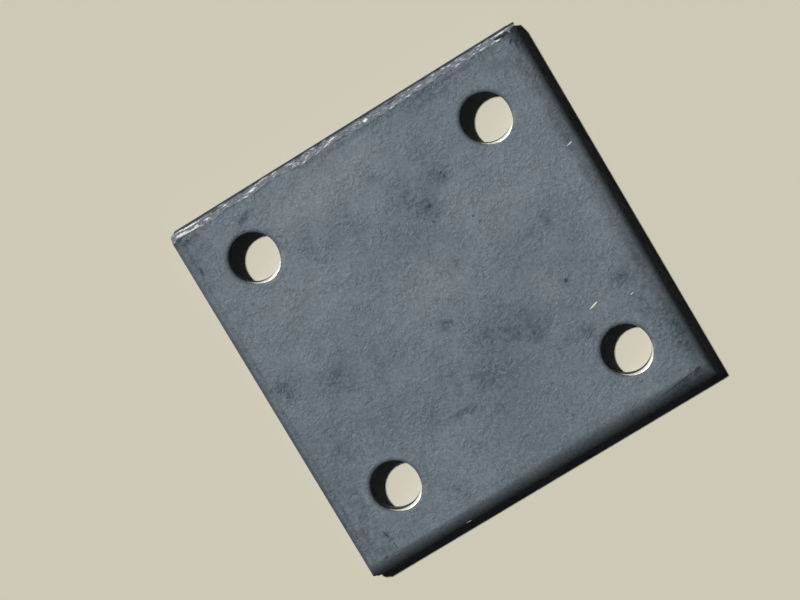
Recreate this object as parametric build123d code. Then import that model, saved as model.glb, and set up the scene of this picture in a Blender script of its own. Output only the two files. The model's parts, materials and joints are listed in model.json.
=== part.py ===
from build123d import *
from math import radians, tan
import os

# Sheared and punched hot-rolled steel plate, lying flat with its punched face up.
# Millimetres. The origin is the middle of the underside, +Z is up, +Y points to
# the end whose torn face shows from above, and +X to the cut side.

# Driving dimensions
plate_width = 152.4  # 6 in, from the mill edge to the cut side
plate_length = 152.4  # 6 in, between the two sheared ends
plate_thickness = 9.525  # 3/8 in

# The cuts are a little out of square with the hole pattern, in degrees
side_lean = 0.8  # of the mill edge and the cut side, clockwise from above
end_lean = 0.55  # of the two sheared ends, anticlockwise from above

# Punched holes
hole_diameter = 19.05  # 3/4 in, at the straight part of the wall
hole_spacing_x = 101.6  # 4 in between centres, across the plate
hole_spacing_y = 101.6  # 4 in between centres, along the plate
hole_offset_x = -0.4  # the pattern sits a little towards the mill edge
hole_offset_y = 1.1  # and towards the rear end
rim_width = 1.8  # how far the drawn-in rim spreads round a hole
rim_depth = 1.0  # how deep the punch drew that rim in
hole_land = 4.0  # straight, rubbed part of the hole's wall
breakout_width = 0.5  # how much wider the hole is at the underside, each side

# Sheared sides
side_droop_width = 8.4  # how far in the plate bends down beside the cut side
end_droop_width = 5.4  # the same beside a sheared end
droop_depth = 2.4  # how deep it bends down at a cut
shear_land = 2.0  # upright, rubbed part of a cut face
tear_width = 2.9  # how far the torn rest of a cut face leans

# Mill edge, the one side that was rolled and never cut
mill_edge_radius = 2.8  # its upper corner
mill_edge_lower_radius = 2.0  # its lower corner

# Room that a cutting shape has past the plate, so that it cuts right through
overrun = 5.0

half_width = plate_width / 2
half_length = plate_length / 2
hole_radius = hole_diameter / 2


def section_across():
    """The plate's section across its width: mill edge on the left, sheared side on the right."""
    tear_top = plate_thickness - droop_depth - shear_land
    with BuildSketch(Plane.XZ) as section:
        with BuildLine():
            droop = EllipticalCenterArc(
                (half_width - side_droop_width, plate_thickness - droop_depth),
                side_droop_width,
                droop_depth,
                start_angle=0,
                arc_size=90,
            )
            upper_corner = CenterArc(
                (-half_width + mill_edge_radius, plate_thickness - mill_edge_radius),
                mill_edge_radius,
                start_angle=90,
                arc_size=90,
            )
            lower_corner = CenterArc(
                (-half_width + mill_edge_lower_radius, mill_edge_lower_radius),
                mill_edge_lower_radius,
                start_angle=180,
                arc_size=90,
            )
            Line(droop @ 1, upper_corner @ 0)
            Line(upper_corner @ 1, lower_corner @ 0)
            Polyline(
                lower_corner @ 1,
                (half_width - tear_width, 0),
                (half_width, tear_top),
                droop @ 0,
            )
        make_face()
    return section.sketch


def section_along():
    """The plate's section along its length, between two cuts made by the same blades.

    The -Y end lay on the bed: it droops at its top and leans in below. The +Y end
    was pushed down past the bed, so it is the same cut turned upside down.
    """
    droop_line = plate_thickness - droop_depth
    tear_line = droop_line - shear_land
    with BuildSketch(Plane.YZ) as section:
        with BuildLine():
            bed_droop = EllipticalCenterArc(
                (-half_length + end_droop_width, droop_line),
                end_droop_width,
                droop_depth,
                start_angle=90,
                arc_size=90,
            )
            drop_droop = EllipticalCenterArc(
                (half_length - end_droop_width, droop_depth),
                end_droop_width,
                droop_depth,
                start_angle=270,
                arc_size=90,
            )
            Polyline(
                bed_droop @ 1,
                (-half_length, tear_line),
                (-half_length + tear_width, 0),
                drop_droop @ 0,
            )
            Polyline(
                drop_droop @ 1,
                (half_length, plate_thickness - tear_line),
                (half_length - tear_width, plate_thickness),
                bed_droop @ 0,
            )
        make_face()
    return section.sketch


def punched_hole():
    """What one punch stroke leaves open, on the Z axis: drawn-in rim, land and break-out."""
    rim_line = plate_thickness - rim_depth
    breakout_line = rim_line - hole_land
    rim_radius = hole_radius + rim_width
    breakout_radius = hole_radius + breakout_width
    with BuildSketch(Plane.XZ) as profile:
        with BuildLine():
            rim = EllipticalCenterArc(
                (rim_radius, rim_line),
                rim_width,
                rim_depth,
                start_angle=90,
                arc_size=90,
            )
            Polyline(
                rim @ 1,
                (hole_radius, breakout_line),
                (breakout_radius, 0),
                (breakout_radius, -overrun),
                (0, -overrun),
                (0, plate_thickness + overrun),
                (rim_radius, plate_thickness + overrun),
                rim @ 0,
            )
        make_face()
    return revolve(profile.sketch, Axis.Z)


def steel_plate():
    """The one solid: the rolled section cut to length, then punched."""
    side_line = Vector(tan(radians(side_lean)), 1, 0)
    end_line = Vector(1, tan(radians(end_lean)), 0)
    across = extrude(section_across(), amount=half_length + overrun, dir=side_line, both=True)
    along = extrude(section_along(), amount=half_width + overrun, dir=end_line, both=True)
    plate = across & along
    pattern = Location((hole_offset_x, hole_offset_y, 0))
    for place in GridLocations(hole_spacing_x, hole_spacing_y, 2, 2):
        plate -= pattern * place * punched_hole()
    return plate


os.makedirs("parts", exist_ok=True)
plate = steel_plate()
plate.label = "steel_plate"
export_step(plate, "parts/steel_plate.step")
print("steel_plate volume", round(plate.volume, 1), "mm3, valid", plate.is_valid)
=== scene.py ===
# %% [markdown]
# A sheared and punched plate of hot-rolled steel, lying flat on a pale floor.
#
# The real plate is one piece. It was rolled hot, which left its dark blue-grey scale,
# then cut on three sides by a guillotine shear and punched four times. A texture painted
# on a box would look right from above only, so this lesson rebuilds the skin of the plate
# from rules: how each side bends, tears and rubs as it is cut, and how a punch draws in
# the rim of a hole. Every mark that changes the outline is real geometry. The grain of the
# scale, its stains and its scratches are left to the shader.

import json
from functools import partial
from math import cos, pi, radians, sin, tan

import bpy
import numpy as np
from mathutils import Matrix, Vector, noise
from mathutils.geometry import delaunay_2d_cdt


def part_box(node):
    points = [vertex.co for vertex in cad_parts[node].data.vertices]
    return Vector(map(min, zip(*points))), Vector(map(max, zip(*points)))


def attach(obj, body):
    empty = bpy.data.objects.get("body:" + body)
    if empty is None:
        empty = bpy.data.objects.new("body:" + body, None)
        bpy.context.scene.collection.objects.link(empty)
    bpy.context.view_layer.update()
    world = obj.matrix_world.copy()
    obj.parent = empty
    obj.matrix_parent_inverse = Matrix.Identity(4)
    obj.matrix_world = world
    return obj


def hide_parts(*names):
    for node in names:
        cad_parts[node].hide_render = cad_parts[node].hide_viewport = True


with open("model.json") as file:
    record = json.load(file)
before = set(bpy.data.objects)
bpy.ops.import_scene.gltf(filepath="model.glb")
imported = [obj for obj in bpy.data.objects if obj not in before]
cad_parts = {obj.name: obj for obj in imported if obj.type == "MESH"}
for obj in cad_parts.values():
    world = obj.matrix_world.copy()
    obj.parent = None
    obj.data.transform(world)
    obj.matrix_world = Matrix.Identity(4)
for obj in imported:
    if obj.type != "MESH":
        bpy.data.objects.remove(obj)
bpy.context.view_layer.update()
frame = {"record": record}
plate_low, plate_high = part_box("steel_plate")


def new_object(name, data):
    """An object with this data, linked to the scene."""
    made = bpy.data.objects.new(name, data)
    bpy.context.scene.collection.objects.link(made)
    return made


print("plate box in mm:", [round(1000 * v, 2) for v in (*plate_low, *plate_high)])

# %% [markdown]
# Sizes come first, in metres. The thickness and the holes are read from the frame, so the
# skin can't drift away from the model it dresses. The rest describes the outline and the
# cuts, and repeats the values that the model was built from.

# %% Sizes of the plate and of its cuts
MM = 0.001
half_width = 76.2 * MM
half_length = 76.2 * MM
thickness = plate_high.z
side_lean = tan(radians(0.8))
end_lean = tan(radians(0.55))

bolts = next(m for m in frame["record"]["mounts"] if m["name"] == "bolt_holes")
hole_radius = bolts["dims"]["hole_r_mm"] * MM
spacing_x = bolts["dims"]["spacing_x_mm"] * MM
spacing_y = bolts["dims"]["spacing_y_mm"] * MM
holes_middle = Vector((bolts["pos_m"][0], bolts["pos_m"][1], 0.0))

rim_width = 1.8 * MM
rim_depth = 1.0 * MM
hole_land = 4.0 * MM
breakout_width = 0.5 * MM

side_droop_width = 8.4 * MM
end_droop_width = 5.4 * MM
droop_depth = 2.4 * MM
shear_land = 2.0 * MM
tear_width = 2.9 * MM
tear_height = thickness - droop_depth - shear_land

mill_radius = 2.8 * MM
mill_lower_radius = 2.0 * MM
corner_x = (half_width + side_lean * half_length) / (1 - side_lean * end_lean)
print("holes of", round(2 * hole_radius / MM, 2), "mm, torn height", round(tear_height / MM, 2), "mm")
print("corner at", round(corner_x / MM, 3), "mm, box at", round(plate_high.x / MM, 3), "mm")

# %% [markdown]
# A side of the plate is described by one question: this far in from the edge, how far has
# the surface dropped? A rolled edge follows a circle, a sheared edge droops along an
# ellipse, and a torn face falls steeply from a ragged lip. These could be modelled with
# bevels, but a bevel can't be ragged, so small functions of the distance are used.

# %% How far each kind of side drops
def rolled_drop(inset, radius):
    """A quarter circle, for the edge that came from the mill."""
    reach = np.clip(radius - inset, 0.0, radius)
    return radius - np.sqrt(radius**2 - reach**2)


def droop_drop(inset, width):
    """A quarter ellipse, for the side that the blade dragged down."""
    reach = np.clip(1.0 - inset / width, 0.0, 1.0)
    return droop_depth * (1.0 - np.sqrt(1.0 - reach**2))


def torn_drop(inset, lip):
    """A steep slope from the lip to the rubbed land below it."""
    return tear_height * np.clip(1.0 - inset / lip, 0.0, 1.0)


def blended(drops, sharpness=5.0):
    """The drops of the four sides at once, rounded a little where two sides meet."""
    total = sum((np.maximum(drop, 0.0) / MM) ** sharpness for drop in drops)
    return MM * total ** (1.0 / sharpness)


print("droop 1 mm in:", round(float(droop_drop(1.0 * MM, side_droop_width)) / MM, 3), "mm")

# %% [markdown]
# The lip of the torn end isn't straight. Real tearing leaves long bites with small teeth in
# them, so the lip's width is layered noise, sampled along the end. The noise comes from
# Blender's own module, which gives the same values each time.

# %% The ragged lip
LIP_BITE = 0.5 * MM
LIP_BITE_LENGTH = 11.0 * MM
LIP_TOOTH = 0.22 * MM
LIP_TOOTH_LENGTH = 2.1 * MM


def wander(values, length, seed):
    """Smooth noise between about -1 and 1 along one direction."""
    return np.array([noise.noise(Vector((v / length, seed, 0.37))) for v in values]) * 2.0


def ragged_lip(x):
    """Width of the torn band seen from above, at each x."""
    bites = LIP_BITE * wander(x, LIP_BITE_LENGTH, 3.1)
    teeth = LIP_TOOTH * wander(x, LIP_TOOTH_LENGTH, 8.7)
    return tear_width + bites + teeth


sample = ragged_lip(np.linspace(-half_width, half_width, 200))
print("lip from", round(sample.min() / MM, 2), "to", round(sample.max() / MM, 2), "mm wide")

# %% [markdown]
# Now the two faces as height fields: given a point seen from above, how high is the top
# skin there, and how high is the underside? The rear end was pushed down by the blade, so
# it is torn at the top and droops at the bottom, and the front and right sides are the
# other way up.

# %% Height of the top and of the underside
def insets(x, y):
    """Distance in from the left, right, front and rear lines, which lean a little."""
    across = x - side_lean * y
    along = y - end_lean * x
    return half_width + across, half_width - across, half_length + along, half_length - along


def top_height(x, y, lip):
    """The punched face: rolled on the left, drooping on the right and in front, torn behind."""
    left, right, front, rear = insets(x, y)
    drops = [rolled_drop(left, mill_radius), droop_drop(right, side_droop_width)]
    drops += [droop_drop(front, end_droop_width), torn_drop(rear, lip)]
    return thickness - blended(drops)


def under_height(x, y, lip):
    """The underside: rolled on the left, torn on the right and in front, drooping behind."""
    left, right, front, rear = insets(x, y)
    rises = [rolled_drop(left, mill_lower_radius), torn_drop(right, tear_width)]
    rises += [torn_drop(front, tear_width), droop_drop(rear, end_droop_width)]
    return blended(rises)


middle = np.array([0.0])
top_middle = top_height(middle, middle, tear_width)[0] / MM
under_middle = under_height(middle, middle, tear_width)[0] / MM
print("in the middle: top", round(float(top_middle), 3), "mm, underside", float(under_middle), "mm")

# %% [markdown]
# The skin is laid as rings that follow the outline inwards, close together where the
# surface curves and wider apart further in. Rings keep the faces long-edged and tidy along
# each cut. Inside them the plate is flat, and a Delaunay fill with the four hole mouths
# left open is enough.

# %% Rings along the outline
SIDE_STEPS = 330
TOP_INSETS = [0, 0.06, 0.16, 0.32, 0.52, 0.75, 1.0, 1.25, 1.5, 1.75, 2.0, 2.25, 2.5, 2.75, 2.9]
TOP_INSETS += [3.05, 3.3, 3.7, 4.2, 4.8, 5.5, 6.3, 7.3, 8.4]
UNDER_INSETS = [0, 0.2, 0.5, 0.9, 1.3, 1.8, 2.4, 3.2, 4.4, 5.8, 7.3]
WALL_STEPS = 6


def outline_ring(inset, steps):
    """Points round the plate, this far in from its outline, starting at the front left corner."""
    corners = []
    for side, end in ((-1, -1), (1, -1), (1, 1), (-1, 1)):
        across, along = side * (half_width - inset), end * (half_length - inset)
        share = 1 - side_lean * end_lean
        corners.append(((across + side_lean * along) / share, (along + end_lean * across) / share))
    points = []
    for index, start in enumerate(corners):
        end = corners[(index + 1) % 4]
        share = np.arange(steps)[:, None] / steps
        points.append(np.array(start) * (1 - share) + np.array(end) * share)
    return np.vstack(points)


def follow_lip(points):
    """Shift points near the rear end so that one ring lies right on the ragged lip."""
    x, y = points[:, 0], points[:, 1]
    rear = insets(x, y)[3]
    band = TOP_INSETS[-1] * MM
    extra = ragged_lip(x) - tear_width
    inner = extra * np.clip((band - rear) / (band - tear_width), 0.0, 1.0)
    shift = np.where(rear < tear_width, extra * rear / tear_width, inner)
    return np.column_stack([x, y - shift])


ring = outline_ring(0.0, SIDE_STEPS)
print(len(ring), "points round the plate,", round(2 * half_width / SIDE_STEPS / MM, 2), "mm apart")

# %% A skin that collects vertices and faces
class Skin:
    """Vertices and faces, gathered before the mesh is made."""

    def __init__(self):
        self.points = []
        self.faces = []

    def add(self, points):
        """Keep these points, and say which numbers they got."""
        first = len(self.points)
        self.points.extend(map(tuple, points))
        return list(range(first, first + len(points)))

    def bridge(self, outer, inner):
        """Quads between two rings of as many points. The outer ring lies to the right of travel."""
        count = len(outer)
        for i in range(count):
            j = (i + 1) % count
            self.faces.append((outer[i], outer[j], inner[j], inner[i]))


def lift(points, height):
    """Points seen from above, put on the skin."""
    x, y = points[:, 0], points[:, 1]
    return np.column_stack([x, y, height(x, y, ragged_lip(x))])


def safe_under(x, y, lip):
    """The underside, kept below the top where two cuts meet at a corner."""
    return np.minimum(under_height(x, y, lip), top_height(x, y, lip) - 0.05 * MM)


skin = Skin()
top_rings = [
    skin.add(lift(follow_lip(outline_ring(inset * MM, SIDE_STEPS)), top_height)) for inset in TOP_INSETS
]
for outer, inner in zip(top_rings, top_rings[1:]):
    skin.bridge(outer, inner)
under_rings = [skin.add(lift(outline_ring(d * MM, SIDE_STEPS), safe_under)) for d in UNDER_INSETS]
for outer, inner in zip(under_rings, under_rings[1:]):
    skin.bridge(inner, outer)

upper = np.array([skin.points[i] for i in top_rings[0]])
lower = np.array([skin.points[i] for i in under_rings[0]])
wall_rings = [top_rings[0]]
for step in range(1, WALL_STEPS):
    share = step / WALL_STEPS
    wall_rings.append(skin.add(upper * (1 - share) + lower * share))
wall_rings.append(under_rings[0])
for high, low in zip(wall_rings, wall_rings[1:]):
    skin.bridge(low, high)
print(len(skin.points), "points and", len(skin.faces), "faces in the band")

# %% Fill the flat faces, with the hole mouths left open
MOUTH_STEPS = 112
TOP_MOUTH = hole_radius + rim_width + 1.6 * MM
UNDER_MOUTH = hole_radius + breakout_width + 1.6 * MM
FILL_SPACING = 1.5 * MM
THINNING = ((0.8 * MM, 2), (2.0 * MM, 4))  # how far inside the last ring, and its steps over this
FILL_START = 3.2 * MM
hole_centres = [
    Vector((holes_middle.x + side * spacing_x / 2, holes_middle.y + end * spacing_y / 2))
    for side in (-1, 1)
    for end in (-1, 1)
]


def circle(centre, radius, steps):
    """Points on a circle, seen from above."""
    angles = 2 * pi * np.arange(steps) / steps
    return np.column_stack([centre.x + radius * np.cos(angles), centre.y + radius * np.sin(angles)])


def fill(border, mouth, spacing, upward):
    """Triangles between the innermost ring and the four mouths."""
    edge = np.array([skin.points[i][:2] for i in border])
    loops = [edge] + [circle(centre, mouth, MOUTH_STEPS) for centre in hole_centres]
    inset = np.mean(np.min(insets(edge[:, 0], edge[:, 1]), axis=0))
    extra = [outline_ring(inset + further, SIDE_STEPS // fewer) for further, fewer in THINNING]
    extra += [circle(centre, mouth + 1.3 * MM, MOUTH_STEPS // 2) for centre in hole_centres]
    steps = np.arange(-plate_high.x, plate_high.x, spacing)
    grid = np.array([(x, y) for x in steps for y in steps])
    inside = np.min(insets(grid[:, 0], grid[:, 1]), axis=0) > inset + FILL_START
    for centre in hole_centres:
        inside &= np.hypot(grid[:, 0] - centre.x, grid[:, 1] - centre.y) > mouth + 2.4 * MM
    extra.append(grid[inside])
    everything = np.vstack(loops + extra)
    edges, first = [], 0
    for loop in loops:
        count = len(loop)
        edges += [(first + i, first + (i + 1) % count) for i in range(count)]
        first += count
    found = delaunay_2d_cdt([Vector(p) for p in everything], edges, [], 1, 1e-7)
    places, faces, origins = found[0], found[2], found[3]
    height = thickness if upward else 0.0
    numbers = []
    for place, origin in zip(places, origins):
        known = origin[0] if origin else None
        if known is not None and known < len(border):
            numbers.append(border[known])
        else:
            numbers.append(skin.add([(place.x, place.y, height)])[0])
    for face in faces:
        middle = sum((places[i] for i in face), Vector((0, 0))) / 3
        if any((middle - centre).length < mouth - 0.01 * MM for centre in hole_centres):
            continue
        a, b, c = (places[i] for i in face)
        turn = (b - a).cross(c - a)
        order = face if (turn > 0) == upward else face[::-1]
        skin.faces.append(tuple(numbers[i] for i in order))


before = len(skin.faces)
fill(top_rings[-1], TOP_MOUTH, FILL_SPACING, True)
fill(under_rings[-1], UNDER_MOUTH, 2 * FILL_SPACING, False)
print(len(skin.faces) - before, "faces in the two flat fills")

# %% [markdown]
# The shader has to know where the steel was torn, where a tool rubbed it bare with a painted
# highlight, and where a painted shade darkens a drooped side or a hole, along with darker scale
# at the mill edge. These are stored as attributes on the mesh, because they follow the surface.
# Old stains and pale patches in the scale, and bright streaks and dark gashes on the torn
# face, are short lists of soft spots. Noise in the shader breaks up their outlines later.

# %% Marks on the scale and on the torn face
STAINS = [
    # x, y, half length, half width in mm, turn in degrees, strength
    # The long strips close to the right side, x from 70 to 77, and along the front end near y = -70
    # darken the drooped edges as painted shade.
    (-74, 71.5, 2.2, 2.2, 0, 0.9),
    (-71, 69.8, 3.0, 1.6, -15, 1.0),
    (-68, 66, 5, 4, 0, 0.35),
    (-45.8, 66.8, 3.2, 0.95, 18, 2.0),
    (-48.2, 65.6, 1.8, 0.8, 40, 1.3),
    (-31, 46, 4, 8, 0, 0.35),
    (15, 34, 4, 4.5, 0, 0.75),
    (11, 40, 11, 9, 20, 0.45),
    (25, 43, 5, 3.5, -20, 0.55),
    (18, 36, 3.2, 1.8, 30, 0.6),
    (4, 30, 9, 10, 0, 0.3),
    (38, 69, 15, 3, 0, 0.5),
    (3.5, 54, 4, 1.4, -30, 0.6),
    (13, 11, 2.6, 2, 40, 0.7),
    (41, 7, 4, 2, 0, 0.45),
    (50, 8, 2, 5, 0, 0.6),
    (-68, 3, 4, 5, 0, 0.8),
    (-50, -3, 8, 8, 0, 0.5),
    (-45, -10, 5, 1.8, -20, 0.65),
    (-61, -28, 4, 5, 0, 0.65),
    (-2, -7, 3.5, 3, 0, 0.75),
    (16, -21, 15, 7, -10, 0.6),
    (27, -26, 6.5, 3.2, 32, 0.8),
    (18.6, -11.4, 3, 0.9, -22, 0.7),
    (-9, -30, 11, 10, 0, 0.35),
    (-14, -39, 5, 1.7, 0, 0.9),
    (-1, -45, 6, 4, 30, 0.5),
    (34, -35.5, 2.6, 2.0, 0, 0.75),
    (28.8, -38.3, 1, 2.5, 0, 0.6),
    (42, -36, 3, 4, 0, 0.6),
    (63, -25, 4.5, 4.5, 0, 0.7),
    (44, -16, 1.4, 1.4, 0, 0.8),
    (-64, -65, 1.3, 4, 20, 0.7),
    (-31, -64, 1.3, 7, 35, 0.45),
    (8, -70, 40, 3, 0, 0.3),
    (-50, -26, 26, 16, 0, 0.34),
    (2, -32, 16, 11, 0, 0.48),
    (-24, -35, 7, 5, 0, 0.42),
    (-32, -6, 13, 7, 0, 0.28),
    (-10, -52, 14, 7, 0, 0.24),
    (-67, -50, 7, 22, 0, 0.42),
    (55, -57, 10, 6, 0, 0.22),
    (66, -42, 6, 25, 0, 0.48),
    (70.2, -53, 3, 15, 0, 0.78),
    (71.0, -20, 2.2, 12, 0, 0.42),
    (71.6, 30, 2.2, 28, 0, 0.38),
    (-74, 10, 2.4, 24, 0, 0.3),
    (-70.8, -62, 3, 12, 0, 0.58),
    (-70.5, 60, 2.5, 9, 0, 0.42),
    (71.5, 58, 2.6, 12, 0, 0.42),
    (66, 66, 6, 6, 0, 0.4),
    (76, 71, 3.5, 5.5, 0, 1.0),
    (63, -73.5, 10, 2.0, 4, 0.8),
    (77, -20, 1.8, 60, 0.8, 0.5),
    (-76, -50, 5.5, 32, 0.8, 0.42),
    (-70.8, 71.8, 2.4, 0.8, -6, 1.0),
    (74.6, 73, 1.6, 3.0, -10, 0.9),
    (42, 71.8, 36, 1.5, 0.5, 0.66),
    (-2, 71.4, 16, 0.9, 0.5, 0.5),
    (-68, 70.5, 8, 1.6, 0.5, 0.7),
    (60, -67, 8, 3.5, 0, 0.4),
    (66, -70.6, 8, 1.4, 6, 1.1),
    (-67, -69, 7, 2.6, 0, 0.5),
]
PALE_PATCHES = [
    (-22, 60, 24, 9, 0, 1.0),
    (1, 63, 12, 5, 0, 0.7),
    (38, -14, 6, 5, 0, 0.5),
    (-50, 32, 20, 12, 0, 0.5),
    (26, 29, 9, 5, 0, 0.6),
    (2, 9, 12, 10, 0, 0.9),
    (38, 22, 14, 12, 0, 0.5),
    (65, 8, 6, 22, 0, 0.15),
    (-22, -52, 14, 8, 0, 0.2),
    (56, 24, 10, 18, 0, 0.3),
    (50, -30, 6, 5, 0, 0.5),
    # These two narrow strips on the drooped right side are painted highlights, where the droop catches
    # the key light.
    (72.2, -69, 0.8, 6, 0, 0.8),
    (73.2, 67, 0.8, 4, 0, 0.8),
]
TORN_STREAKS = [
    # x in mm, place across the band from outline to lip, half length and thickness in mm, strength
    (-70, 0.22, 2.2, 0.30, 1.0),
    (-66, 0.34, 5.0, 0.32, 1.0),
    (-66.5, 0.90, 5.5, 0.34, 0.9),
    (-35, 0.30, 5.0, 0.25, 0.7),
    (-70.5, 0.70, 2.8, 0.50, 1.0),
    (-63.5, 0.72, 1.2, 0.35, 0.9),
    (-59, 0.60, 1.6, 0.45, 0.7),
    (-59.3, 1.10, 1.0, 0.25, 0.8),
    (-50, 0.50, 2.2, 0.30, 0.7),
    (-42, 0.85, 1.6, 0.30, 0.8),
    (-38.5, 0.55, 2.4, 0.35, 1.0),
    (-33, 0.24, 2.2, 0.40, 1.0),
    (-28.5, 0.28, 1.8, 0.40, 0.9),
    (-24.3, 1.06, 0.8, 0.30, 0.9),
    (-19, 0.75, 3.0, 0.40, 0.6),
    (-6, 0.80, 2.4, 0.35, 0.7),
    (-3, 0.52, 2.4, 0.30, 0.9),
    (11.3, 0.60, 1.1, 0.60, 1.0),
    (22.5, 0.85, 1.6, 0.22, 0.7),
    (30, 0.88, 2.0, 0.24, 0.8),
    (35, 0.52, 2.2, 0.24, 0.8),
    (46, 0.32, 1.2, 0.35, 0.8),
    (59, 0.90, 1.6, 0.24, 0.8),
    (62.3, 0.85, 1.8, 0.26, 0.9),
    (62.2, 0.26, 1.4, 0.26, 0.9),
    (69.0, 0.86, 1.5, 0.55, 1.0),
    (71, 0.32, 5.5, 0.24, 1.0),
]
TORN_GASHES = [
    (69.8, 0.66, 1.9, 0.50, 1.3),
    (72.4, 0.86, 1.4, 0.85, 1.6),
    # This gash, at the corner by the cut side, is painted shade where the corner lies in shade.
    (76.3, 0.84, 1.5, 1.10, 1.5),
    (-55, 0.30, 4.0, 0.50, 0.6),
    (-9, 0.35, 4.0, 0.45, 0.5),
    (23, 0.35, 4.0, 0.45, 0.6),
    (26, 0.36, 12.0, 0.55, 0.40),
    (42, 0.36, 9.0, 0.55, 0.38),
]


def spots(across, along, listed):
    """How strongly each place lies in one of the soft spots."""
    value = np.zeros(len(across))
    for middle_x, middle_y, long, short, turn, strength in listed:
        c, s = cos(radians(turn)), sin(radians(turn))
        u = ((across - middle_x) * c + (along - middle_y) * s) / long
        v = ((along - middle_y) * c - (across - middle_x) * s) / short
        value = np.maximum(value, strength * np.exp(-(u**2 + v**2)))
    return value


def band_spots(listed):
    """The same, for marks placed across the torn band."""
    width = tear_width / MM
    return [(x, place * width, long, thick, 0, strength) for x, place, long, thick, strength in listed]


print(len(STAINS), "stains,", len(TORN_STREAKS), "streaks")

# %% [markdown]
# Where a cut side droops, its surface turns away from the key light, and a painted shade that
# is strongest at the outline darkens it; the scale there is crushed and darker too. The strip
# beside the cut side has three layers of this painted shade, the one at the front end is wider
# towards the cut side, and the mill edge, which was never cut, has only a narrow darker band of
# scale that fades towards the torn end.

# %% Masks on the vertices
FAR_FROM_LIP = 9.0  # mm, for all that doesn't lie on the torn end
FRONT_SHADE = 0.95
FRONT_WIDENING = 1.1 * MM
SIDE_WIDE_SHADE = 0.25
SIDE_WIDE_REACH = 6.0 * MM
SIDE_LINE_SHADE = 0.67
SIDE_LINE_REACH = 2.8 * MM
SIDE_FRONT_SHADE = 0.17
SIDE_FRONT_REACH = 10.0 * MM
MILL_SHADE = 0.44
MILL_REACH = 1.9 * MM
MILL_SHADE_LEFT = 0.3  # of that shade, beside the torn end


def ramp(value, start, end):
    """0 before start and 1 past end, in a straight line between them."""
    return np.clip((value - start) / (end - start), 0.0, 1.0)


def edge_share(inset, reach):
    """How near a place lies to a cut: 1 at the outline, 0 further in than reach."""
    return np.clip(1.0 - inset / reach, 0.0, 1.0)


points = np.array(skin.points)
x, y, z = points.T
left, right, front, rear = insets(x, y)
lip = ragged_lip(x)
upper_half = z > thickness / 2
rear_face = (z > droop_depth + 0.3 * shear_land) & (rear < 1.6 * lip)
across_band = rear / lip * tear_width / MM

# Painted shade on the drooped right side and front end, where they turn away from the key light.
side_wide = np.minimum(2.0 * edge_share(right, SIDE_WIDE_REACH), 1.0)
side_front = ramp(y / MM, 20.0, -40.0) * np.minimum(2.2 * edge_share(right, SIDE_FRONT_REACH), 1.0)
side_painted_shade = SIDE_WIDE_SHADE * side_wide + SIDE_LINE_SHADE * edge_share(right, SIDE_LINE_REACH)
side_painted_shade += SIDE_FRONT_SHADE * side_front
mill_share = np.maximum(ramp(y / MM, 75.0, 35.0), MILL_SHADE_LEFT)
bent_mill = MILL_SHADE * mill_share * edge_share(left, MILL_REACH) ** 0.5
front_reach = end_droop_width + FRONT_WIDENING * ramp(x / MM, -15.0, 20.0)
front_painted_shade = FRONT_SHADE * edge_share(front, front_reach) ** 0.5
masks = {
    "lip": np.where(rear_face, rear - lip, FAR_FROM_LIP * MM) / MM,
    "torn_under": (np.minimum(right, front) < tear_width) * ~upper_half,
    "rubbed_glint": np.zeros(len(points)),
    "bent": np.maximum(side_painted_shade + bent_mill, front_painted_shade),
    "stain": spots(x / MM, y / MM, STAINS) * upper_half,
    "pale": spots(x / MM, y / MM, PALE_PATCHES) * upper_half,
    "streak": spots(x / MM, across_band, band_spots(TORN_STREAKS)) * rear_face,
    "gash": spots(x / MM, across_band, band_spots(TORN_GASHES)) * rear_face,
}
print({name: round(float(np.mean(values)), 3) for name, values in masks.items()})

# %% [markdown]
# The masks are worked out on the straight outline. After that, the two corners where the
# mill edge meets the ends are dragged in a little along that edge, as the shear left them,
# and the points become a mesh.

# %% Drag in two corners and make the mesh
CORNER_REACH = 2.0 * MM
CORNER_LENGTH = 8.0 * MM
REAR_PULL = 1.15 * MM
FRONT_PULL = 0.9 * MM

near_mill = edge_share(left, CORNER_REACH) ** 0.5
pulled = points.copy()
pulled[:, 1] -= REAR_PULL * near_mill * edge_share(rear, CORNER_LENGTH)
pulled[:, 1] += FRONT_PULL * near_mill * edge_share(front, CORNER_LENGTH)
mesh = bpy.data.meshes.new("plate_skin")
mesh.from_pydata([tuple(point) for point in pulled], [], skin.faces)
for name, values in masks.items():
    layer = mesh.attributes.new(name, "FLOAT", "POINT")
    layer.data.foreach_set("value", np.asarray(values, dtype=np.float32))
mesh.validate()
plate_skin = new_object("plate_skin", mesh)
print("skin:", len(mesh.vertices), "vertices,", len(mesh.polygons), "faces")

# %% [markdown]
# Node trees are easier to read when making a node, setting it and wiring it take one line.
# These helpers do that for both geometry and shader trees. A wired value knows its own tree,
# so a sum can be written almost as it would be on paper.

# %% Helpers that make and wire nodes
def link(value, socket):
    """Wire a result to a socket, or set the socket to a plain value."""
    if isinstance(value, bpy.types.NodeSocket):
        socket.id_data.links.new(value, socket)
    else:
        socket.default_value = value


def make_node(tree, kind, inputs=None, **settings):
    """A new node with its settings, and its inputs set or wired by name or number."""
    made = tree.nodes.new(kind)
    for name, value in settings.items():
        setattr(made, name, value)
    for key, value in (inputs or {}).items():
        link(value, made.inputs[key])
    return made


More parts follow.
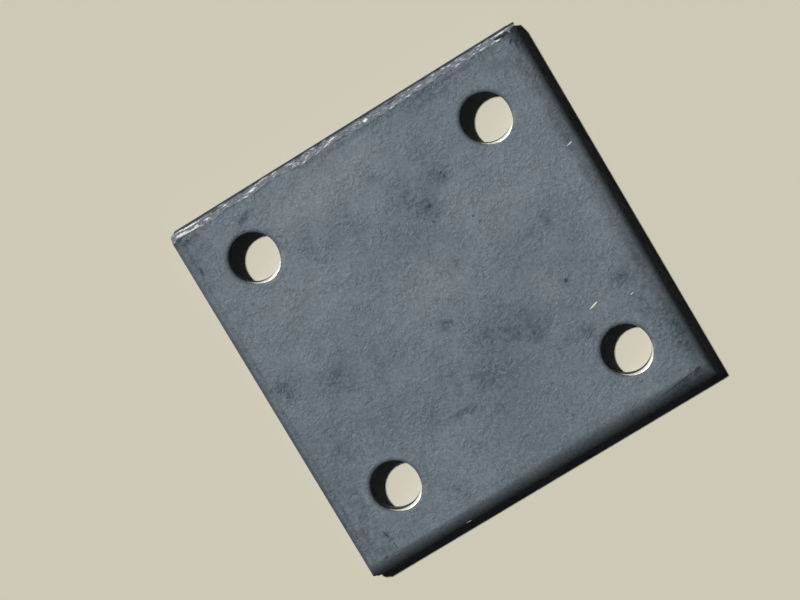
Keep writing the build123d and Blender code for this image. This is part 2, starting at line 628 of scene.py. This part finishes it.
def new_tree(name, family, takes, gives):
    """A node group with named sockets, whose inputs are given by a default or else by a type."""
    tree = bpy.data.node_groups.new(name, family)
    for socket_name, default in takes.items():
        kind = SOCKET_KINDS.get(type(default), default)
        socket = tree.interface.new_socket(name=socket_name, in_out="INPUT", socket_type=kind)
        if kind != default:
            socket.default_value = default
    for socket_name, kind in gives.items():
        tree.interface.new_socket(name=socket_name, in_out="OUTPUT", socket_type=kind)
    start, end = tree.nodes.new("NodeGroupInput"), tree.nodes.new("NodeGroupOutput")
    return tree, start.outputs, end.inputs


FLOAT, VECTOR, COLOUR = "NodeSocketFloat", "NodeSocketVector", "NodeSocketColor"
GEOMETRY, MATERIAL = "NodeSocketGeometry", "NodeSocketMaterial"
SOCKET_KINDS = {float: FLOAT, int: "NodeSocketInt", tuple: VECTOR}
print("node helpers ready")

# %% Helpers for sums on wired values
def tree_of(*values):
    """The tree that the first wired value belongs to."""
    return next(value.id_data for value in values if isinstance(value, bpy.types.NodeSocket))


def calculate(operation, *values):
    """One Math node, and its result."""
    made = make_node(tree_of(*values), "ShaderNodeMath", dict(enumerate(values)), operation=operation)
    return made.outputs[0]


plus, minus = partial(calculate, "ADD"), partial(calculate, "SUBTRACT")
times, over = partial(calculate, "MULTIPLY"), partial(calculate, "DIVIDE")
larger, smaller = partial(calculate, "MAXIMUM"), partial(calculate, "MINIMUM")
sine, cosine = partial(calculate, "SINE"), partial(calculate, "COSINE")
absolute, root_of = partial(calculate, "ABSOLUTE"), partial(calculate, "SQRT")


def clipped(value):
    """A value kept between 0 and 1."""
    return smaller(larger(value, 0.0), 1.0)


def remap(value, low, high, new_low=0.0, new_high=1.0):
    """A value carried from one range to another, and kept inside it."""
    settings = {"Value": value, "From Min": low, "From Max": high, "To Min": new_low, "To Max": new_high}
    return make_node(value.id_data, "ShaderNodeMapRange", settings, clamp=True).outputs[0]


def grain_noise(place, size_mm, detail=2.0, roughness=0.5, distortion=0.0):
    """Noise whose features are about size_mm across."""
    settings = {"Detail": detail, "Roughness": roughness, "Distortion": distortion}
    settings.update({"Vector": place, "Scale": 1.0 / (size_mm * MM)})
    return make_node(place.id_data, "ShaderNodeTexNoise", settings).outputs[0]


def geometry_step(kind, inputs, **settings):
    """One Geometry node in the tree of its inputs, and its result."""
    return make_node(tree_of(*inputs.values()), "GeometryNode" + kind, inputs, **settings).outputs[0]


def split(vector):
    """The three sockets of a wired vector."""
    return make_node(vector.id_data, "ShaderNodeSeparateXYZ", {0: vector}).outputs


def combine(x, y, z):
    """A vector from three values."""
    return make_node(tree_of(x, y, z), "ShaderNodeCombineXYZ", {"X": x, "Y": y, "Z": z}).outputs[0]


def scaled(vector, amount):
    """A vector, or a colour, times a plain value."""
    if not isinstance(vector, bpy.types.NodeSocket):
        vector = vector[:3]
    inputs = {0: vector, "Scale": amount}
    return make_node(amount.id_data, "ShaderNodeVectorMath", inputs, operation="SCALE").outputs[0]


def colour_mix(share, first, second):
    """One Mix node for colours, and its result."""
    inputs = {0: share, 6: first, 7: second}
    return make_node(share.id_data, "ShaderNodeMix", inputs, data_type="RGBA").outputs[2]


def value_mix(share, first, second):
    """One Mix node for plain values, and its result."""
    return make_node(share.id_data, "ShaderNodeMix", {0: share, 2: first, 3: second}).outputs[0]


print("sum helpers ready")

# %% [markdown]
# One punch made all four holes, so one hole is built and repeated. Its wall is a profile
# turned round an axis: a flat ring that meets the fill, a drawn-in rim, a straight rubbed
# land, a break-out that widens below, and a flat ring again. Spin or a bevelled cylinder
# could make it too. Geometry Nodes are used because the same tree then sets the four copies
# on their pattern, stores the masks and welds them to the skin. The bright crescent on a rim
# lies on the side that faces the key light: bare steel with a painted highlight in its colour.
# The rim and the wall are darkened by a painted shade, deepest down the wall.

# %% A tree that punches the holes
WELD_DISTANCE = 0.004 * MM
PARTS = [
    # part of the wall, where it starts and where it ends on the sheet that is turned
    ("ring", 0.0, 0.07),
    ("rim", 0.07, 0.42),
    ("land", 0.42, 0.62),
    ("breakout", 0.62, 0.93),
    ("foot", 0.93, 1.0),
]

holes_tree, given, made_out = new_tree(
    "Punched holes",
    "GeometryNodeTree",
    {
        "Geometry": GEOMETRY,
        "Thickness": thickness,
        "Hole Radius": hole_radius,
        "Rim Width": rim_width,
        "Rim Depth": rim_depth,
        "Land": hole_land,
        "Breakout Width": breakout_width,
        "Top Mouth": TOP_MOUTH,
        "Under Mouth": UNDER_MOUTH,
        "Spacing X": spacing_x,
        "Spacing Y": spacing_y,
        "Pattern Middle": (0.0, 0.0, 0.0),
        "Steps Round": MOUTH_STEPS,
        "Steps Down": 30,
        "Glint Side": radians(-70),
        "Bare From": 0.18,
        "Bare Narrowing": 1.1,
        "Rim Shade": 0.55,
        "Wall Shade": 0.8,
        "Material": MATERIAL,
    },
    {"Geometry": GEOMETRY},
)

around = plus(given["Steps Round"], 1)
square = {"Size X": 1.0, "Size Y": 1.0, "Vertices X": around, "Vertices Y": given["Steps Down"]}
kept = geometry_step("MeshGrid", square)
axes = split(make_node(holes_tree, "GeometryNodeInputPosition").outputs[0])
angle = times(minus(0.5, axes["X"]), 2 * pi)
down = minus(0.5, axes["Y"])
share = {part: remap(down, start, end) for part, start, end in PARTS}

rim_turn = times(share["rim"], pi / 2)
rim_line = plus(given["Hole Radius"], given["Rim Width"])
break_line = plus(given["Hole Radius"], given["Breakout Width"])
radius = minus(given["Top Mouth"], times(share["ring"], minus(given["Top Mouth"], rim_line)))
radius = minus(radius, times(given["Rim Width"], sine(rim_turn)))
radius = plus(radius, times(share["breakout"], given["Breakout Width"]))
radius = plus(radius, times(share["foot"], minus(given["Under Mouth"], break_line)))
fall = times(given["Rim Depth"], minus(1.0, cosine(rim_turn)))
fall = plus(fall, times(share["land"], given["Land"]))
torn_part = minus(minus(given["Thickness"], given["Rim Depth"]), given["Land"])
fall = plus(fall, times(share["breakout"], torn_part))
height = minus(given["Thickness"], fall)
turned = combine(times(radius, cosine(angle)), times(radius, sine(angle)), height)
print("hole wall in", len(PARTS), "parts")

# %% The masks of a hole, and its four copies
RIM_START = 5.0  # how fast the bare part of a rim sets in
WALL_START = 6.0  # the same for the shade of the wall
BREAK_START = 8.0  # and for the torn part under it

broken_out = smaller(times(share["breakout"], BREAK_START), 1.0)
on_wall = smaller(times(share["land"], WALL_START), 1.0)
# The bare crescent sits on the side facing the key light, so its bright colour is partly a painted
# highlight.
off_glint_side = minus(1.0, cosine(minus(angle, given["Glint Side"])))
bare_from = plus(given["Bare From"], times(off_glint_side, given["Bare Narrowing"]))
rim_polish_glint = clipped(times(minus(share["rim"], bare_from), RIM_START))
# Painted shade on the rim and the wall, deepest down the wall, where the hole lies in shade.
wall_shade = times(on_wall, given["Wall Shade"])
hole_masks = {
    "rubbed_glint": times(rim_polish_glint, minus(1.0, on_wall)),
    "torn_under": times(broken_out, minus(1.0, share["foot"])),
    "bent": larger(times(share["rim"], given["Rim Shade"]), wall_shade),
    "lip": FAR_FROM_LIP,
}
for name, value in hole_masks.items():
    stored = {"Geometry": kept, "Name": name, "Value": value}
    kept = geometry_step("StoreNamedAttribute", stored, data_type="FLOAT", domain="POINT")
shaped = geometry_step("SetPosition", {"Geometry": kept, "Position": turned})
places = {"Size X": given["Spacing X"], "Size Y": given["Spacing Y"], "Vertices X": 2, "Vertices Y": 2}
pattern = geometry_step("MeshGrid", places)
centred = geometry_step("Transform", {"Geometry": pattern, "Translation": given["Pattern Middle"]})
copies = geometry_step("InstanceOnPoints", {"Points": centred, "Instance": shaped})
whole = geometry_step("RealizeInstances", {"Geometry": copies})
joined = make_node(holes_tree, "GeometryNodeJoinGeometry")
link(whole, joined.inputs[0])
link(given["Geometry"], joined.inputs[0])
welded = geometry_step("MergeByDistance", {"Geometry": joined.outputs[0], "Distance": WELD_DISTANCE})
dressed = geometry_step("SetMaterial", {"Geometry": welded, "Material": given["Material"]})
link(dressed, made_out["Geometry"])
print("hole tree has", len(holes_tree.nodes), "nodes")

# %% [markdown]
# The second tree roughens what the shear and the punch left behind. Torn steel is pitted
# and streaked along the cut, the rubbed rims are faintly grained, and the rolled faces are
# never quite flat. A Displace modifier has one strength for a whole mesh, so the tree pushes
# each point along its normal by its own masks, always inwards, which keeps the plate inside
# its true size.

# %% A tree that roughens cut steel
relief_tree, given, made_out = new_tree(
    "Cut relief",
    "GeometryNodeTree",
    {
        "Geometry": GEOMETRY,
        "Torn Depth": 0.3 * MM,
        "Rubbed Depth": 0.05 * MM,
        "Rolled Waviness": 0.05 * MM,
        "Streak Length": 7.0 * MM,
        "Streak Height": 0.9 * MM,
        "Seed": 4.0,
        "Material": MATERIAL,
    },
    {"Geometry": GEOMETRY},
)


def stored_mask(name):
    """What was stored on the mesh under this name."""
    made = make_node(relief_tree, "GeometryNodeInputNamedAttribute", {"Name": name}, data_type="FLOAT")
    return made.outputs["Attribute"]


ONE_STREAK = 1.0 / MM  # streaks are counted in their own lengths, not in millimetres
place = make_node(relief_tree, "GeometryNodeInputPosition").outputs[0]
normal = make_node(relief_tree, "GeometryNodeInputNormal").outputs[0]
axes = split(place)
streaks_along = over(plus(axes["X"], axes["Y"]), given["Streak Length"])
streaks_down = over(axes["Z"], given["Streak Height"])
streaks = grain_noise(combine(streaks_along, streaks_down, given["Seed"]), ONE_STREAK, 4.0, 0.6)
grit = grain_noise(place, 1.1, 3.0, 0.6)
swell = grain_noise(place, 22.0)
rear_torn = clipped(times(stored_mask("lip"), -1.0))
torn_here = larger(rear_torn, stored_mask("torn_under"))
rough = plus(times(streaks, 0.75), times(grit, 0.25))
torn_push = times(times(rough, torn_here), given["Torn Depth"])
rubbed_push = times(times(grit, stored_mask("rubbed_glint")), given["Rubbed Depth"])
wavy_push = times(swell, given["Rolled Waviness"])
push = plus(plus(torn_push, rubbed_push), wavy_push)
offset = scaled(normal, times(push, -1.0))
moved = geometry_step("SetPosition", {"Geometry": given["Geometry"], "Offset": offset})
smooth = geometry_step("SetShadeSmooth", {"Geometry": moved})
whole = geometry_step("RealizeInstances", {"Geometry": smooth})
dressed = geometry_step("SetMaterial", {"Geometry": whole, "Material": given["Material"]})
link(dressed, made_out["Geometry"])
print("relief tree has", len(relief_tree.nodes), "nodes")

# %% [markdown]
# Hot-rolled scale is a thin, hard oxide: nearly black when new, blue-grey and satin under a
# lamp. Up close it is mottled like leather, and in places thin flakes of it stand proud with
# a dark line round them. The first shader group makes that skin from slow clouds, a leathery
# middle grain, a fine speckle and the flakes, and the same noise breaks up the stored stains
# and pale patches. A slightly darker band with a thin line follows the mill edge.

# %% Shader group for the scale
SCALE_PLAIN = (0.138, 0.165, 0.193, 1.0)
SCALE_DULL = (0.110, 0.134, 0.160, 1.0)
SCALE_STAIN = (0.051, 0.067, 0.086, 1.0)
SCALE_PALE = (0.172, 0.196, 0.216, 1.0)
GRAIN_SHADES = (0.64, 1.36)
MOTTLE_SHADES = (-0.04, 0.04)
STAIN_BREAKS = (0.4, 1.7)  # how weak and how strong the noise makes a stain
FLAKE_LINE_SHADE = 0.36
FLAKE_HEIGHT = 1.4
SATIN = (0.52, 0.62)
BENT_DULLING = 0.45
MILL_BAND = (3.7, 4.7)  # mm in from the mill edge, where its darker band fades out
MILL_LINE = 3.8  # mm in from the mill edge, a thin dark line

scale_tree, given, made_out = new_tree(
    "Mill scale skin",
    "ShaderNodeTree",
    {"Place": VECTOR, "Stain": 0.0, "Pale": 0.0, "Bent": 0.0, "Mill Edge": 99.0},
    {"Colour": COLOUR, "Roughness": FLOAT, "Height": FLOAT},
)
place = given["Place"]
slow = grain_noise(place, 17.0, 4.0, 0.6)
ragged = grain_noise(place, 2.6, 5.0, 0.7, 0.5)
leather = grain_noise(place, 1.5, 3.0, 0.6, 0.6)
speckle = grain_noise(place, 0.8, 3.0, 0.7)
mottle = grain_noise(place, 6.0)
flakes = grain_noise(place, 2.8, 2.0, 0.5, 1.2)
flaked = remap(grain_noise(place, 9.0), 0.38, 0.56)
raised = plus(remap(flakes, 0.40, 0.46), remap(flakes, 0.53, 0.59))
flake_line = times(remap(absolute(minus(flakes, 0.44)), 0.018, 0.0), flaked)

base = colour_mix(remap(slow, 0.35, 0.65), SCALE_PLAIN, SCALE_DULL)
pale_share = times(given["Pale"], remap(ragged, 0.3, 0.65, 0.4, 1.0))
pale = colour_mix(pale_share, base, SCALE_PALE)
blotches = plus(times(ragged, 0.55), times(flakes, 0.45))
stain_share = times(given["Stain"], remap(blotches, 0.42, 0.58, *STAIN_BREAKS))
stained = colour_mix(remap(stain_share, 0.06, 1.0), pale, SCALE_STAIN)

grain = plus(times(leather, 0.4), times(speckle, 0.6))
shade = plus(remap(grain, 0.3, 0.7, *GRAIN_SHADES), remap(mottle, 0.3, 0.7, *MOTTLE_SHADES))
shade = minus(shade, times(flake_line, FLAKE_LINE_SHADE))
# The stored value darkens the colour: painted shade on the drooped sides and in the holes, and darker
# scale at the mill edge.
bent_shade = minus(1.0, given["Bent"])
edge_band = remap(given["Mill Edge"], *MILL_BAND, 0.84, 1.0)
edge_line = remap(absolute(minus(given["Mill Edge"], MILL_LINE)), 0.1, 0.5, 0.9, 1.0)
shade = times(times(shade, bent_shade), times(edge_band, edge_line))
link(scaled(stained, shade), made_out["Colour"])
satin = remap(leather, 0.3, 0.7, *SATIN)
link(plus(satin, times(given["Bent"], BENT_DULLING)), made_out["Roughness"])
link(plus(grain, times(times(raised, flaked), FLAKE_HEIGHT)), made_out["Height"])
print("scale group has", len(scale_tree.nodes), "nodes")

# %% [markdown]
# Torn steel shines where a ridge faces the light and stays grey in the hollows between.
# The ridges are real, but much finer ones run along the cut, so the second group draws
# them as noise that is stretched along the side, and paints their shine as bright streaks:
# bare steel with a painted highlight in its colour. The stored streaks and gashes add what a
# worn blade left in single places.

# %% Shader group for torn steel
STEEL_CREAM = (0.84, 0.89, 0.87, 1.0)
STEEL_GREY = (0.118, 0.136, 0.172, 1.0)
STEEL_DARK = (0.009, 0.011, 0.016, 1.0)
ALONG_THE_CUT = (0.2, 0.2, 1.0)
GREY_SHADES = (0.35, 1.75)
CHANCE_STREAKS = 0.75  # how bright the streaks are that no list places
CHIPPING = 2.4  # how much the chips break up a placed streak
# The darkness along the outline is painted shade, where the torn face meets the floor.
OUTLINE_DARK = 0.9
GREY_ROUGHNESS = (0.42, 0.58)
DARK_ROUGHNESS = 0.95

torn_tree, given, made_out = new_tree(
    "Torn steel",
    "ShaderNodeTree",
    {"Place": VECTOR, "Streak": 0.0, "Gash": 0.0, "Outline": 9.0},
    {"Colour": COLOUR, "Roughness": FLOAT, "Height": FLOAT, "Bright": FLOAT},
)
place = given["Place"]
mapping = make_node(torn_tree, "ShaderNodeMapping", {"Vector": place, "Scale": ALONG_THE_CUT})
stretched = mapping.outputs[0]
lines = grain_noise(stretched, 0.5, 3.0, 0.55)
fibres = grain_noise(stretched, 0.18)
patches = grain_noise(place, 5.0, 3.0, 0.6)
mixed = plus(times(lines, 0.7), times(patches, 0.3))
chips = plus(times(fibres, 0.6), times(grain_noise(place, 0.7, 3.0, 0.7), 0.4))

by_chance = remap(mixed, 0.56, 0.64, 0.0, CHANCE_STREAKS)
placed = plus(given["Streak"], times(minus(chips, 0.5), CHIPPING))
bright = larger(by_chance, remap(placed, 0.45, 0.7))
greys = scaled(STEEL_GREY, remap(chips, 0.36, 0.64, *GREY_SHADES))
coloured = colour_mix(bright, greys, STEEL_CREAM)
# Painted shade along the outline, where the torn face meets the floor.
outline_wander = plus(given["Outline"], times(minus(patches, 0.5), 1.2))
near_outline = remap(outline_wander, 1.0, 0.55)
dark = larger(remap(given["Gash"], 0.3, 0.6), times(near_outline, OUTLINE_DARK))
link(colour_mix(dark, coloured, STEEL_DARK), made_out["Colour"])
rough_grey = remap(mixed, 0.3, 0.7, *GREY_ROUGHNESS)
link(value_mix(dark, rough_grey, DARK_ROUGHNESS), made_out["Roughness"])
link(plus(lines, times(fibres, 0.4)), made_out["Height"])
link(times(bright, minus(1.0, dark)), made_out["Bright"])
print("torn steel group has", len(torn_tree.nodes), "nodes")

# %% [markdown]
# Single scratches, nicks and pits are the third group: a soft-ended bar at a stated place and
# turn, with a frayed border. It is placed once for each mark with its own values.

# %% Shader group for one scratch
scratch_tree, given, made_out = new_tree(
    "Scratch",
    "ShaderNodeTree",
    {
        "Place": VECTOR,
        "Middle X": 0.0,
        "Middle Y": 0.0,
        "Turn": 0.0,
        "Half Length": 2.0,
        "Half Width": 0.2,
    },
    {"Mark": FLOAT},
)
axes = split(given["Place"])
dx = minus(over(axes["X"], MM), given["Middle X"])
dy = minus(over(axes["Y"], MM), given["Middle Y"])
c, s = cosine(given["Turn"]), sine(given["Turn"])
u = over(plus(times(dx, c), times(dy, s)), given["Half Length"])
v = over(minus(times(dy, c), times(dx, s)), given["Half Width"])
reach = root_of(plus(times(u, u), times(v, v)))
fray = minus(grain_noise(given["Place"], 0.4, 2.0, 0.6), 0.5)
link(remap(plus(reach, times(fray, 0.8)), 1.1, 0.8), made_out["Mark"])
print("scratch group has", len(scratch_tree.nodes), "nodes")

# %% [markdown]
# The plate's one material lays scale over bare steel. The masks say where the scale is
# gone, and noise decides exactly where it flakes, so the border between the two is broken.
# Scratches are bare and bright, pits are dark, and pale brown tints lie beside the rims.
# The Principled BSDF stays in the material, where its plain sockets hold what is the same
# all over.

# %% Scratches, pits and tints
SCRATCHES = [
    # middle x, middle y in mm, turn in degrees, half length, half width
    (48.5, -29.0, 17, 1.9, 0.26),
    (72.0, 27.6, 12, 1.2, 0.20),
    (63.0, -32.5, 10, 0.7, 0.18),
    # This one, on the front edge, is a burr of bare steel with a painted glint, as it catches the key
    # light.
    (-34.7, -76.2, 0, 1.0, 0.27),
]
PITS = [
    (27.5, 23.0, 30, 0.5, 0.4),
    (15.5, 34.5, 60, 0.9, 0.6),
    (44.6, -15.6, 70, 0.9, 0.75),
    (25.5, 43.0, 20, 0.7, 0.4),
    (26.0, 41.4, 80, 0.7, 0.45),
    (13.8, 28.6, -30, 0.9, 0.3),
    (-72.7, 72.2, -33, 1.8, 0.4),
    (-69.4, 70.3, -28, 1.1, 0.35),
    (-64.1, -64.2, 106, 2.3, 0.28),
    (-63.2, -69.2, 95, 1.7, 0.22),
    (-68.6, -71.8, 0, 1.2, 0.45),
    (-70.9, 57.7, 85, 2.0, 0.45),
    (61.0, -70.6, 8, 9.0, 0.28),
    (69.2, -69.7, 20, 1.5, 0.65),
    (73.1, 71.4, 35, 1.3, 0.42),
]
TINTS = [
    (-41.4, 46.8, 64, 2.2, 0.9),
    (-48.8, 40.6, 13, 2.6, 0.8),
    (59.8, 47.3, 64, 2.0, 0.8),
    (-49.0, -60.5, 12, 2.4, 0.8),
    (-42.1, -56.4, 53, 1.8, 0.8),
    (60.1, -53.2, 71, 2.0, 0.8),
    (57.1, -58.7, 37, 1.8, 0.8),
]
print(len(SCRATCHES), "scratches,", len(PITS), "pits,", len(TINTS), "tints")

# %% The plate's material
# POLISHED_STEEL colours the scratches and the rim crescents; on the rims it holds a painted highlight.
POLISHED_STEEL = (0.80, 0.80, 0.69, 1.0)
PIT_COLOUR = (0.012, 0.014, 0.018, 1.0)
TINT_COLOUR = (0.25, 0.22, 0.14, 1.0)
PIT_STRENGTH = 0.8
TINT_STRENGTH = 0.32
LIP_LINE_STRENGTH = 0.85
POLISHED_ROUGHNESS = 0.38
BARE_METALLIC = 0.25

steel = bpy.data.materials.new("mill_scale_steel")
steel.use_nodes = True
tree = steel.node_tree
tree.nodes.clear()
place = make_node(tree, "ShaderNodeTexCoord").outputs["Object"]


def mask(name):
    """What was stored on the mesh under this name."""
    return make_node(tree, "ShaderNodeAttribute", attribute_name=name).outputs["Fac"]


def marks(listed):
    """All the marks in one list, as one mask."""
    total = 0.0
    for middle_x, middle_y, turn, long, wide in listed:
        values = {"Place": place, "Middle X": middle_x, "Middle Y": middle_y}
        values.update({"Turn": radians(turn), "Half Length": long, "Half Width": wide})
        made = make_node(tree, "ShaderNodeGroup", values, node_tree=scratch_tree)
        total = larger(made.outputs["Mark"], total)
    return total


axes = split(place)
mill_inset = plus(minus(axes["X"], times(axes["Y"], side_lean)), half_width)
rear_inset = plus(minus(times(axes["X"], end_lean), axes["Y"]), half_length)
scale_values = {"Place": place, "Mill Edge": over(mill_inset, MM)}
scale_values.update({name: mask(name.lower()) for name in ("Stain", "Pale", "Bent")})
torn_values = {"Place": place, "Outline": over(rear_inset, MM)}
torn_values.update({name: mask(name.lower()) for name in ("Streak", "Gash")})
scale_skin = make_node(tree, "ShaderNodeGroup", scale_values, node_tree=scale_tree).outputs
torn_skin = make_node(tree, "ShaderNodeGroup", torn_values, node_tree=torn_tree).outputs

flaking = minus(grain_noise(place, 0.8, 4.0, 0.65), 0.5)
lip = plus(mask("lip"), times(flaking, 0.5))
rear_torn = remap(lip, 0.08, -0.08)
under_torn = remap(plus(mask("torn_under"), times(flaking, 0.8)), 0.4, 0.6)
torn_all = larger(rear_torn, under_torn)
polished = remap(plus(mask("rubbed_glint"), flaking), 0.42, 0.6)
lip_gaps = remap(grain_noise(place, 2.4, 3.0, 0.6), 0.42, 0.56, 0.25, 1.0)
lip_line = times(times(remap(lip, 1.1, 0.15), minus(1.0, rear_torn)), lip_gaps)

pitted = larger(marks(PITS), times(lip_line, LIP_LINE_STRENGTH))
shining = larger(polished, marks(SCRATCHES))
colour = colour_mix(times(marks(TINTS), TINT_STRENGTH), scale_skin["Colour"], TINT_COLOUR)
colour = colour_mix(times(pitted, PIT_STRENGTH), colour, PIT_COLOUR)
colour = colour_mix(torn_all, colour, torn_skin["Colour"])
colour = colour_mix(shining, colour, POLISHED_STEEL)
bare = larger(shining, times(torn_all, torn_skin["Bright"]))
roughness = value_mix(torn_all, scale_skin["Roughness"], torn_skin["Roughness"])
scale_bumps = {"Height": scale_skin["Height"], "Strength": 0.5, "Distance": 0.1 * MM}
torn_bumps = {"Height": torn_skin["Height"], "Strength": torn_all, "Distance": 0.15 * MM}
torn_bumps["Normal"] = make_node(tree, "ShaderNodeBump", scale_bumps).outputs[0]
surface = {
    "Base Color": colour,
    "Roughness": value_mix(polished, roughness, POLISHED_ROUGHNESS),
    "Metallic": times(bare, BARE_METALLIC),
    "Normal": make_node(tree, "ShaderNodeBump", torn_bumps).outputs[0],
    "IOR": 1.55,
    "Specular Tint": (0.72, 0.88, 1.0, 1.0),
}
shell = make_node(tree, "ShaderNodeBsdfPrincipled", surface)
make_node(tree, "ShaderNodeOutputMaterial", {"Surface": shell.outputs[0]})
print("material has", len(tree.nodes), "nodes")

# %% [markdown]
# Both trees are run on the skin and the result is kept as a plain mesh, which is what is
# drawn. The finished piece replaces the plain model.

# %% Punch, roughen and keep the plate
def run_tree(obj, tree, values):
    """The object's mesh after a tree, as a new plain mesh."""
    step = obj.modifiers.new(tree.name, "NODES")
    step.node_group = tree
    for socket in tree.interface.items_tree:
        if socket.in_out == "INPUT" and socket.name in values:
            step[socket.identifier] = values[socket.name]
    seen = obj.evaluated_get(bpy.context.evaluated_depsgraph_get())
    result = bpy.data.meshes.new_from_object(seen)
    obj.modifiers.remove(step)
    return result


plate = plate_skin
plate.name = "plate"
plate.data = run_tree(plate, holes_tree, {"Pattern Middle": tuple(holes_middle), "Material": steel})
plate.data = run_tree(plate, relief_tree, {"Material": steel})
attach(plate, "root")
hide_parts("steel_plate")
triangles = sum(len(face.vertices) - 2 for face in plate.data.polygons)
print("plate:", len(plate.data.vertices), "vertices,", triangles, "triangles")

# %% [markdown]
# The floor is a plain pale sheet. Far away it curves up to a rim, like a photographer's
# sweep, and the rim is low, so hardly any light is thrown back into the shadow beside the
# plate. It is a profile turned round the plate.

# %% Floor and sweep
FLOOR_RADIUS = 5.0
SWEEP_RADIUS = 0.3
RIM_TOP = 0.36
SWEEP_STEPS = 12
ROUND_STEPS = 96
FLOOR_COLOUR = (0.61, 0.58, 0.49, 1.0)
FLOOR_ROUGHNESS = 0.9
FLOOR_SHINE = 0.1

profile = [(reach, 0.0) for reach in (0.0, 0.2, 0.5, 1.2, 2.6, FLOOR_RADIUS)]
for step in range(1, SWEEP_STEPS + 1):
    turn = step / SWEEP_STEPS * pi / 2
    profile.append((FLOOR_RADIUS + SWEEP_RADIUS * sin(turn), SWEEP_RADIUS * (1 - cos(turn))))
profile.append((FLOOR_RADIUS + SWEEP_RADIUS, RIM_TOP))
floor_points = [(0.0, 0.0, 0.0)]
floor_faces = []
for level, (reach, rise) in enumerate(profile[1:]):
    for step in range(ROUND_STEPS):
        turn = 2 * pi * step / ROUND_STEPS
        floor_points.append((reach * cos(turn), reach * sin(turn), rise))
    for step in range(ROUND_STEPS):
        here = 1 + level * ROUND_STEPS + step
        beside = 1 + level * ROUND_STEPS + (step + 1) % ROUND_STEPS
        if level == 0:
            floor_faces.append((0, here, beside))
        else:
            floor_faces.append((here - ROUND_STEPS, here, beside, beside - ROUND_STEPS))
floor_mesh = bpy.data.meshes.new("floor")
floor_mesh.from_pydata(floor_points, [], floor_faces)
floor_mesh.polygons.foreach_set("use_smooth", [True] * len(floor_mesh.polygons))
floor = new_object("floor", floor_mesh)
floor_paint = bpy.data.materials.new("pale_floor")
floor_paint.use_nodes = True
floor_shader = floor_paint.node_tree.nodes["Principled BSDF"]
floor_shader.inputs["Base Color"].default_value = FLOOR_COLOUR
floor_shader.inputs["Roughness"].default_value = FLOOR_ROUGHNESS
floor_shader.inputs["Specular IOR Level"].default_value = FLOOR_SHINE
floor_mesh.materials.append(floor_paint)
print("floor of", len(floor_mesh.polygons), "faces")

# %% [markdown]
# One key light stands where the sun stood, high up and towards the upper left of the
# picture, and its edge is a little soft. A dim, cool fill comes from all round, as from a
# clear sky. The key alone is strong enough that a matt surface facing up renders about as
# bright as its written colour.

# %% Light
KEY_TOWARDS = radians(-57.3)  # where the light travels, seen from above
KEY_HEIGHT = radians(55.4)
KEY_SOFTNESS = radians(3.5)
FILL = 0.012
FILL_COLOUR = (0.35, 0.48, 1.0, 1.0)
KEY_COLOUR = (1.0, 0.985, 0.95)
KEY_DISTANCE = 1.2  # no matter for the light, only for where its symbol stands
KEY_STRENGTH = pi / sin(KEY_HEIGHT)

key_data = bpy.data.lights.new("key", "SUN")
key_data.energy = KEY_STRENGTH
key_data.angle = KEY_SOFTNESS
key_data.color = KEY_COLOUR
key = new_object("key", key_data)
flat = cos(KEY_HEIGHT)
travel = Vector((cos(KEY_TOWARDS) * flat, sin(KEY_TOWARDS) * flat, -sin(KEY_HEIGHT)))
key.rotation_euler = travel.to_track_quat("-Z", "Y").to_euler()
key.location = travel * -KEY_DISTANCE
world = bpy.data.worlds.new("studio")
world.use_nodes = True
sky = world.node_tree.nodes["Background"].inputs
sky["Color"].default_value = FILL_COLOUR
sky["Strength"].default_value = FILL
bpy.context.scene.world = world
print("key strength", round(KEY_STRENGTH, 2), "fill", FILL)

# %% [markdown]
# The camera looks almost straight down from over a metre away with a long lens. It leans a
# little towards the corner between the torn end and the cut side, so that a sliver of the
# torn face shows, and it is turned so that the plate stands on one corner in the picture.

# %% Camera
CAMERA_DISTANCE = 1.1326
CAMERA_LEAN = radians(9.53)
CAMERA_SIDE = radians(38.2)
PICTURE_UP = radians(58.5)
AIM_RIGHT = -0.01641
AIM_UP = 0.00062
FOCAL_PIXELS = 3000.0
PICTURE_WIDTH = 800.0

flat = sin(CAMERA_LEAN)
back = Vector((flat * cos(CAMERA_SIDE), flat * sin(CAMERA_SIDE), cos(CAMERA_LEAN)))
up = Vector((cos(PICTURE_UP), sin(PICTURE_UP), 0.0))
up = (up - back * up.dot(back)).normalized()
right_hand = up.cross(back)
camera_data = bpy.data.cameras.new("camera")
camera_data.sensor_width = 36.0
camera_data.lens = FOCAL_PIXELS / PICTURE_WIDTH * camera_data.sensor_width
camera_data.clip_start = 0.05
camera_data.clip_end = 20.0
camera = new_object("camera", camera_data)
turn = Matrix((right_hand, up, back)).transposed()
stand = right_hand * AIM_RIGHT + up * AIM_UP + back * CAMERA_DISTANCE
camera.matrix_world = Matrix.Translation(stand) @ turn.to_4x4()
bpy.context.scene.camera = camera
bpy.context.scene.view_settings.view_transform = "Standard"
print("lens", round(camera_data.lens, 1), "mm")

# %% [markdown]
# Last, the view layer is brought up to date.

# %% Bring the view layer up to date
bpy.context.view_layer.update()
